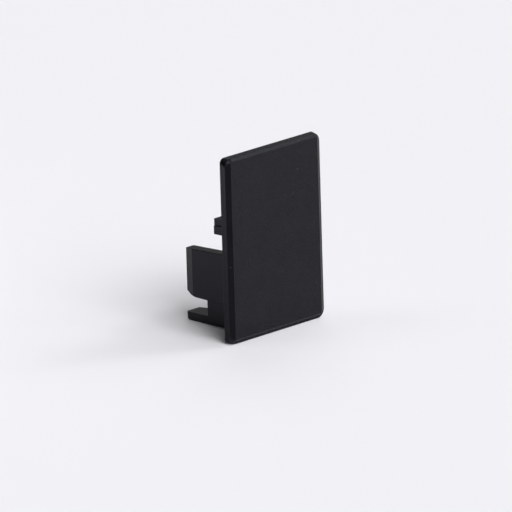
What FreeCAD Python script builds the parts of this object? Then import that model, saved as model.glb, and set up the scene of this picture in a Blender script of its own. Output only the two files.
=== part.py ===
import FreeCAD, Part
import math
import os

# End cap for an open profile, moulded in one piece.
# A rectangular cover plate closes the end of the profile. Two equal sets of lugs stand on
# its back and plug into the profile: a foot, a neck, a blade and a short stepped post each.
# Origin: the middle of the plate's back face, which seats on the profile's end.
# X runs across the plate, +Y along the lugs, +Z up. The set at -X is built, then mirrored.

# Cover plate. The bevel round its front is wider on the two long sides than on the two ends,
# where it stops short of the rim and leaves a narrow step. The rim's corners are rounder in front.
plate_width = 29.0
plate_height = 40.5
plate_edge = 1.5
bevel_depth = 0.55
bevel_side = 1.2
bevel_end = 0.6
step_top = 0.12
step_low = 0.48
rim_corner_back = 1.15
rim_corner_front = 1.95
face_corner = 0.4
bevel_rounding = 0.2
back_rounding = 0.05

# Lugs, shared. Heights are measured from the plate's lower edge.
lugs_across = 14.4
lug_thickness = 2.45
lug_reach = 18.1
draft_angle = 1.5
foot_height = 0.69

# Foot: the ledge under the blade that the cap stands on.
foot_thickness = 1.89
foot_width = 4.45
foot_lead_in = 0.5
foot_lead_length = 1.7
foot_tip_rounding = 0.45
foot_chamfer_tall = 0.52
foot_chamfer_in = 0.2
foot_tip_chamfer = 0.6

# Neck: joins the foot to the blade next to the plate. It draws in a little towards the foot.
neck_reach = 11.85
neck_break_height = 4.03
neck_draw_in = 0.06

# Blade: stands a little proud of the neck, with a lead-in at its tip and a rising lower edge.
# Its heights, the tip's lower edge too, are given at the plate; the draft moves them along the lug.
blade_proud = 0.13
blade_low = 5.67
blade_top = 17.08
blade_tip_low = 6.676
blade_tip_slope = 25.0
blade_lower_radius = 5.0
blade_tip_radius = 0.35
blade_lead_in = 0.58
blade_lead_length = 2.2
blade_rounding = 0.2

# Post: a short lug above the blade, in two steps.
post_low = 21.13
post_step = 22.93
post_top = 24.43
post_reach = 9.2
post_step_out = 0.36
post_step_back = 0.2
post_rounding = 0.1

# Worked out from the sizes above.
bottom = -plate_height / 2
plate_top = plate_height / 2
lug_outer = -lugs_across / 2
lug_inner = lug_outer + lug_thickness
draft = math.tan(math.radians(draft_angle))
closeness = 1e-4
nearly_all = 0.99


def height(above_edge):
    """Z of a height measured from the plate's lower edge."""
    return bottom + above_edge


def solid_between(outline, direction):
    """Solid swept from a closed list of edges along a vector."""
    return Part.Face(Part.Wire(outline)).extrude(direction)


def polygon(points):
    """Straight edges through the points and back to the first."""
    corners = [FreeCAD.Vector(*point) for point in points]
    ends = corners[1:] + corners[:1]
    return [Part.LineSegment(start, end).toShape() for start, end in zip(corners, ends)]


def block(x_range, y_range, z_range):
    """Box between two values on each axis."""
    size = [high - low for low, high in (x_range, y_range, z_range)]
    corner = FreeCAD.Vector(x_range[0], y_range[0], z_range[0])
    return Part.makeBox(size[0], size[1], size[2], corner)


def edges_in_plane(shape, axis, value):
    """Edges whose two ends and middle lie at one value of x, y or z."""
    found = []
    for edge in shape.Edges:
        points = [vertex.Point for vertex in edge.Vertexes] + [edge.CenterOfMass]
        if all(abs(getattr(point, axis) - value) < closeness for point in points):
            found.append(edge)
    return found


def rounded_rectangle(width, low, top, radius, y):
    """Closed wire in an XZ plane, centred across, with round corners."""
    side = width / 2 - radius
    middles = [(side, top - radius), (-side, top - radius), (-side, low + radius), (side, low + radius)]
    arcs = []
    for turn, (x, z) in enumerate(middles):
        points = []
        for degrees in (90 * turn, 90 * turn + 45, 90 * turn + 90):
            angle = math.radians(degrees)
            points.append(FreeCAD.Vector(x + radius * math.cos(angle), y, z + radius * math.sin(angle)))
        arcs.append(points)
    edges = []
    for turn, points in enumerate(arcs):
        edges.append(Part.Arc(*points).toShape())
        edges.append(Part.LineSegment(points[2], arcs[(turn + 1) % 4][0]).toShape())
    return Part.Wire(edges)


def cover_plate():
    """Plate with a square edge, and in front of it a bevelled tier that is a little less tall."""
    front_y = -plate_edge - bevel_depth
    rim_back = rounded_rectangle(plate_width, bottom, plate_top, rim_corner_back, 0)
    rim_front = rounded_rectangle(plate_width, bottom, plate_top, rim_corner_front, -plate_edge)
    rim = Part.makeLoft([rim_back, rim_front], True, True)
    rim = rim.makeFillet(back_rounding, edges_in_plane(rim, "y", 0))
    tier_low = bottom + step_low
    tier_top = plate_top - step_top
    front_width = plate_width - 2 * bevel_side
    tier_back = rounded_rectangle(plate_width, tier_low, tier_top, rim_corner_front, -plate_edge)
    tier_front = rounded_rectangle(front_width, tier_low + bevel_end, tier_top - bevel_end,
                                   face_corner, front_y)
    tier = Part.makeLoft([tier_back, tier_front], True, True)
    tier = tier.makeFillet(bevel_rounding, edges_in_plane(tier, "y", front_y))
    return rim.fuse(tier).removeSplitter()


def edges_along(shape, axis):
    """Straight edges that run along x, y or z, give or take a draft."""
    found = []
    for edge in shape.Edges:
        run = edge.Vertexes[-1].Point - edge.Vertexes[0].Point
        if abs(getattr(run, axis)) > nearly_all * edge.Length:
            found.append(edge)
    return found


def foot_and_neck():
    """Angle section swept along the lugs. Past the neck only its foot goes on to the tip."""
    low = height(foot_height)
    ledge = low + foot_thickness
    neck_top = height((blade_low + blade_top) / 2)
    foot_inner = lug_outer + foot_width
    foot_outer = lug_outer + neck_draw_in
    section = polygon([(foot_outer + foot_chamfer_in, 0, low), (foot_inner, 0, low), (foot_inner, 0, ledge),
                       (lug_inner, 0, ledge), (lug_inner, 0, neck_top), (lug_outer, 0, neck_top),
                       (lug_outer, 0, height(neck_break_height)), (foot_outer, 0, low + foot_chamfer_tall)])
    angle = solid_between(section, FreeCAD.Vector(0, lug_reach, 0))
    slot = block((lug_outer, lug_inner), (neck_reach, lug_reach), (ledge, neck_top))
    angle = angle.cut([slot, foot_lead_in_wedge(foot_inner, low, ledge)])
    outer_tip = [edge for edge in edges_along(angle, "z")
                 if edge.CenterOfMass.y > neck_reach + closeness and edge.CenterOfMass.x < lug_inner]
    angle = angle.makeFillet(foot_tip_rounding, outer_tip)
    return angle.cut(foot_tip_wedge(foot_inner, low))


def foot_lead_in_wedge(foot_inner, low, ledge):
    """Wedge off the inner corner of the foot's tip."""
    corner = [(foot_inner, lug_reach - foot_lead_length, low), (foot_inner, lug_reach, low),
              (foot_inner - foot_lead_in, lug_reach, low)]
    return solid_between(polygon(corner), FreeCAD.Vector(0, 0, ledge - low))


def foot_tip_wedge(foot_inner, low):
    """Wedge off the lower edge of the foot's tip."""
    corner = [(lug_outer, lug_reach - foot_tip_chamfer, low), (lug_outer, lug_reach, low),
              (lug_outer, lug_reach, low + foot_chamfer_tall)]
    return solid_between(polygon(corner), FreeCAD.Vector(foot_inner - lug_outer, 0, 0))


def blade():
    """Flat prong that grips the profile's inner wall."""
    outer = lug_outer - blade_proud
    low = height(blade_low)
    top = height(blade_top)
    tip_top = top - draft * lug_reach
    tip_low = height(blade_tip_low) + draft * lug_reach
    slope = math.tan(math.radians(blade_tip_slope))
    bend_y = lug_reach - (blade_tip_low - blade_low) / (slope - draft)
    bend_z = low + draft * bend_y
    side = polygon([(outer, 0, low), (outer, bend_y, bend_z), (outer, lug_reach, tip_low),
                    (outer, lug_reach, tip_top), (outer, 0, top)])
    prong = solid_between(side, FreeCAD.Vector(lug_inner - outer, 0, 0))
    prong = round_across(prong, bend_y, bend_z, blade_lower_radius)
    prong = round_across(prong, lug_reach, tip_top, blade_tip_radius)
    prong = prong.cut(blade_lead_in_wedge(outer))
    lower_and_top = [edge for edge in edges_in_plane(prong, "x", outer)
                     if closeness < edge.CenterOfMass.y < lug_reach - blade_lead_length - closeness]
    return prong.makeFillet(blade_rounding, lower_and_top)


def round_across(prong, y, z, radius):
    """Rounds the edge that runs across the blade at one place in its side view."""
    across = [edge for edge in edges_along(prong, "x")
              if math.hypot(edge.CenterOfMass.y - y, edge.CenterOfMass.z - z) < closeness]
    return prong.makeFillet(radius, across)


def blade_lead_in_wedge(outer):
    """Wedge that thins the outer side of the blade towards its tip."""
    low = height(blade_low)
    corner = [(outer, lug_reach - blade_lead_length, low), (outer, lug_reach, low),
              (outer + blade_lead_in, lug_reach, low)]
    return solid_between(polygon(corner), FreeCAD.Vector(0, 0, blade_top - blade_low))


def post():
    """Short lug above the blade: its lower half stands out further and is a little shorter."""
    step_outer = lug_outer - post_step_out
    lower = block((step_outer, lug_inner), (0, post_reach - post_step_back),
                  (height(post_low), height(post_step)))
    upper = block((lug_outer, lug_inner), (0, post_reach), (height(post_step), height(post_top)))
    whole = lower.fuse(upper).removeSplitter()
    tip_corners = [edge for edge in edges_along(whole, "z")
                   if edge.CenterOfMass.y > closeness and edge.CenterOfMass.x < lug_inner - closeness]
    return whole.makeFillet(post_rounding, tip_corners)


def lug_set():
    """Foot, neck, blade and post of one side."""
    return foot_and_neck().multiFuse([blade(), post()]).removeSplitter()


def end_cap():
    """Plate with a set of lugs on each side, one solid."""
    left = lug_set()
    right = left.mirror(FreeCAD.Vector(0, 0, 0), FreeCAD.Vector(1, 0, 0))
    return cover_plate().multiFuse([left, right]).removeSplitter()


os.makedirs("parts", exist_ok=True)
cap = end_cap()
cap.exportStep("parts/end_cap.step")
print("end cap solids", len(cap.Solids), "valid", cap.isValid())
print("end cap volume in cubic mm", round(cap.Volume, 2))
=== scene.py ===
import math
import bpy
from mathutils import Matrix, Vector


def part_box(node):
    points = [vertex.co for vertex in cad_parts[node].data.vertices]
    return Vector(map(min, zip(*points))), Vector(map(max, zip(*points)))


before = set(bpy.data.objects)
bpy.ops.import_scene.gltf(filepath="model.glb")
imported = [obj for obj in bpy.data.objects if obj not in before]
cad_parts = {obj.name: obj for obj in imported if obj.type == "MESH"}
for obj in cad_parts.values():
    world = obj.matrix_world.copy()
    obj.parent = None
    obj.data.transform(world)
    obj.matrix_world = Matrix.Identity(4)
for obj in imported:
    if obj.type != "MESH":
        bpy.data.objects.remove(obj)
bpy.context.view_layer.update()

# End cap.
# One black plastic moulding: a bevelled cover plate with two sets of plug-in lugs on its back.
# It is injection moulded, and the tool's spark-eroded finish leaves a fine matt grain all over.
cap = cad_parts["end_cap"]
plastic_black = (0.0007, 0.0007, 0.0008, 1.0)
plastic_sheen = (0.78, 0.81, 1.0, 1.0)
sheen_level = 0.163
grain_size = 0.00022
grain_detail = 3.0
grain_depth = 0.000045
mottle_size = 0.004
mottle_detail = 2.0
mottle_reach = (0.3, 0.7)
mottle_shades = (0.2, 1.8)
mottle_roughness = (0.34, 0.38)
speck_grey = (0.1, 0.1, 0.103, 1.0)
speck_spacing = 0.003
speck_radius = 0.00016


def noise(nodes, place, detail, size):
    """Noise texture whose cells are about one size across, in metres."""
    texture = nodes.new("ShaderNodeTexNoise")
    texture.inputs["Scale"].default_value = 1.0 / size
    texture.inputs["Detail"].default_value = detail
    nodes.id_data.links.new(place.outputs["Object"], texture.inputs["Vector"])
    return texture


def between(nodes, value, reach, wanted):
    """Maps a value from its reach to the wanted range, held at both ends."""
    ramp = nodes.new("ShaderNodeMapRange")
    names = ("From Min", "From Max", "To Min", "To Max")
    for name, limit in zip(names, reach + wanted):
        ramp.inputs[name].default_value = limit
    nodes.id_data.links.new(value, ramp.inputs["Value"])
    return ramp.outputs["Result"]


def grained_plastic(name):
    """Matt black plastic: a fine grain in the surface, a slow mottle and a few pale specks."""
    material = bpy.data.materials.new(name)
    material.use_nodes = True
    nodes = material.node_tree.nodes
    links = material.node_tree.links
    shader = nodes["Principled BSDF"]
    place = nodes.new("ShaderNodeTexCoord")
    fine = noise(nodes, place, grain_detail, grain_size)
    slow = noise(nodes, place, mottle_detail, mottle_size)
    colour = nodes.new("ShaderNodeVectorMath")
    colour.operation = "SCALE"
    colour.inputs[0].default_value = plastic_black[:3]
    links.new(between(nodes, slow.outputs["Fac"], mottle_reach, mottle_shades), colour.inputs["Scale"])
    dots = nodes.new("ShaderNodeTexVoronoi")
    dots.inputs["Scale"].default_value = 1.0 / speck_spacing
    links.new(place.outputs["Object"], dots.inputs["Vector"])
    speck = nodes.new("ShaderNodeMix")
    speck.data_type = "RGBA"
    links.new(between(nodes, dots.outputs["Distance"], (0.0, speck_radius / speck_spacing), (1.0, 0.0)),
              speck.inputs["Factor"])
    links.new(colour.outputs["Vector"], speck.inputs["A"])
    speck.inputs["B"].default_value = speck_grey
    links.new(speck.outputs["Result"], shader.inputs["Base Color"])
    links.new(between(nodes, slow.outputs["Fac"], mottle_reach, mottle_roughness),
              shader.inputs["Roughness"])
    grain = nodes.new("ShaderNodeBump")
    grain.inputs["Strength"].default_value = 1.0
    grain.inputs["Distance"].default_value = grain_depth
    links.new(fine.outputs["Fac"], grain.inputs["Height"])
    links.new(grain.outputs["Normal"], shader.inputs["Normal"])
    shader.inputs["Specular IOR Level"].default_value = sheen_level
    shader.inputs["Specular Tint"].default_value = plastic_sheen
    return material


plastic = grained_plastic("moulded_plastic")
for slot in cap.material_slots:
    slot.material = plastic

# Floor.
# A wide pale board. The cap leans back on it until the tips of its feet touch, so the board
# passes under the plate's lower back edge and the feet, and tilts by that much in the cap's frame.
corner_low, corner_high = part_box("end_cap")
tips_start = 0.9 * corner_high[1]
back_reach = 0.0003
foot_tips = [v.co for v in cap.data.vertices if v.co.y > tips_start]
plate_back = [v.co for v in cap.data.vertices if abs(v.co.y) < back_reach]
plate_low = min(plate_back, key=lambda point: point.z)
lean = min(math.atan2(tip.z - plate_low.z, tip.y - plate_low.y) for tip in foot_tips)
floor_up = Vector((0.0, -math.sin(lean), math.cos(lean)))
floor_half = 1.5
floor_white = (0.872, 0.869, 0.903, 1.0)

floor_mesh = bpy.data.meshes.new("floor")
floor_side = Vector((1.0, 0.0, 0.0))
floor_back = floor_up.cross(floor_side)
corners = [plate_low + floor_half * (a * floor_side + b * floor_back)
           for a, b in ((-1, -1), (1, -1), (1, 1), (-1, 1))]
floor_mesh.from_pydata(corners, [], [(0, 1, 2, 3)])
floor = bpy.data.objects.new("floor", floor_mesh)
bpy.context.scene.collection.objects.link(floor)
board = bpy.data.materials.new("pale_board")
board.use_nodes = True
board_shader = board.node_tree.nodes["Principled BSDF"]
board_shader.inputs["Base Color"].default_value = floor_white
board_shader.inputs["Roughness"].default_value = 0.9
board_shader.inputs["Specular IOR Level"].default_value = 0.0
floor_mesh.materials.append(board)

# Light.
# Soft lamps on the camera's right and round the back, small ones for the top's bevel and left corner,
# and a low strip on the left that brightens the plate's side. Turned is from the camera's side.
camera_turn = 46.15
lamps = {
    "main": {"turned": 30, "height": 50, "softness": 36, "brightness": 0.5},
    "below_main": {"turned": 30, "height": 30, "softness": 36, "brightness": 0.28},
    "beside_main": {"turned": 60, "height": 30, "softness": 36, "brightness": 0.16},
    "low_right": {"turned": 95, "height": 3, "softness": 12, "brightness": 0.32},
    "right_back": {"turned": 120, "height": 30, "softness": 36, "brightness": 0.16},
    "back_right": {"turned": 150, "height": 30, "softness": 36, "brightness": 0.09},
    "back_low": {"turned": 180, "height": 30, "softness": 36, "brightness": 0.035},
    "back_high": {"turned": 180, "height": 50, "softness": 36, "brightness": 0.125},
    "top_right": {"turned": 111, "height": 40, "softness": 12, "brightness": 0.1},
    "left_top": {"turned": 278, "height": 57, "softness": 24, "brightness": 0.07},
}


def hang(lamp, name, away, place):
    """Puts a lamp at a place, shining against the direction given as away."""
    holder = bpy.data.objects.new(name, lamp)
    turn = away.to_track_quat("Z", "Y").to_matrix().to_4x4()
    holder.matrix_world = Matrix.Translation(place) @ turn
    holder.visible_camera = False
    bpy.context.scene.collection.objects.link(holder)


def lamp_direction(turned, height):
    """Unit vector from the cap to a lamp, from its turn and height in degrees."""
    angle = math.radians(turned - camera_turn)
    rise = math.radians(height)
    return Vector((math.sin(angle) * math.cos(rise), -math.cos(angle) * math.cos(rise), math.sin(rise)))


for name, lamp in lamps.items():
    sun = bpy.data.lights.new(name, "SUN")
    sun.angle = math.radians(lamp["softness"])
    sun.energy = math.pi * lamp["brightness"]
    hang(sun, name, lamp_direction(lamp["turned"], lamp["height"]), Vector())

strip_turned = 262
strip_brightness = 5.6
strip_width = 0.1
strip_height = 0.02
strip_distance = 0.15
strip_gap = 0.002
strip = bpy.data.lights.new("strip", "AREA")
strip.shape = "RECTANGLE"
strip.size = strip_width
strip.size_y = strip_height
strip.energy = strip_brightness * math.pi * strip_width * strip_height
strip_away = lamp_direction(strip_turned, 0)
strip_away = (strip_away - floor_up * strip_away.dot(floor_up)).normalized()
strip_foot = Vector((0.0, plate_low.y, plate_low.z))
hang(strip, "strip", strip_away,
     strip_foot + strip_away * strip_distance + floor_up * (strip_gap + strip_height / 2))

world = bpy.data.worlds.new("room")
bpy.context.scene.world = world
world.use_nodes = True
world.node_tree.nodes["Background"].inputs["Strength"].default_value = 0.0

# Camera.
# A long lens, from the front left and a little above, level with the floor.
azimuth = math.radians(camera_turn)
elevation = math.radians(15.45)
distance = 2.3205
picture_width = 512
plate_height = corner_high[2] - corner_low[2]
pixels_tall = 191.99
sensor_width = 36.0
aim_pixel = (269.5, 237.33)
aim = Vector((0.0, 0.0, (corner_low[2] + corner_high[2]) / 2))

towards = Vector((-math.sin(azimuth) * math.cos(elevation), -math.cos(azimuth) * math.cos(elevation),
                  math.sin(elevation)))
right = floor_up.cross(towards).normalized()
up = towards.cross(right)
camera_data = bpy.data.cameras.new("camera")
camera_data.sensor_width = sensor_width
pixel = plate_height / pixels_tall
camera_data.lens = distance / (picture_width * pixel) * sensor_width
camera_data.clip_end = 20.0
camera = bpy.data.objects.new("camera", camera_data)
bpy.context.scene.collection.objects.link(camera)
across = (aim_pixel[0] - picture_width / 2) * pixel
down = (aim_pixel[1] - picture_width / 2) * pixel
place = aim + towards * distance - right * across + up * down
turn = Matrix((right, up, towards)).transposed().to_4x4()
camera.matrix_world = Matrix.Translation(place) @ turn
bpy.context.scene.camera = camera

bpy.context.scene.view_settings.view_transform = "Standard"
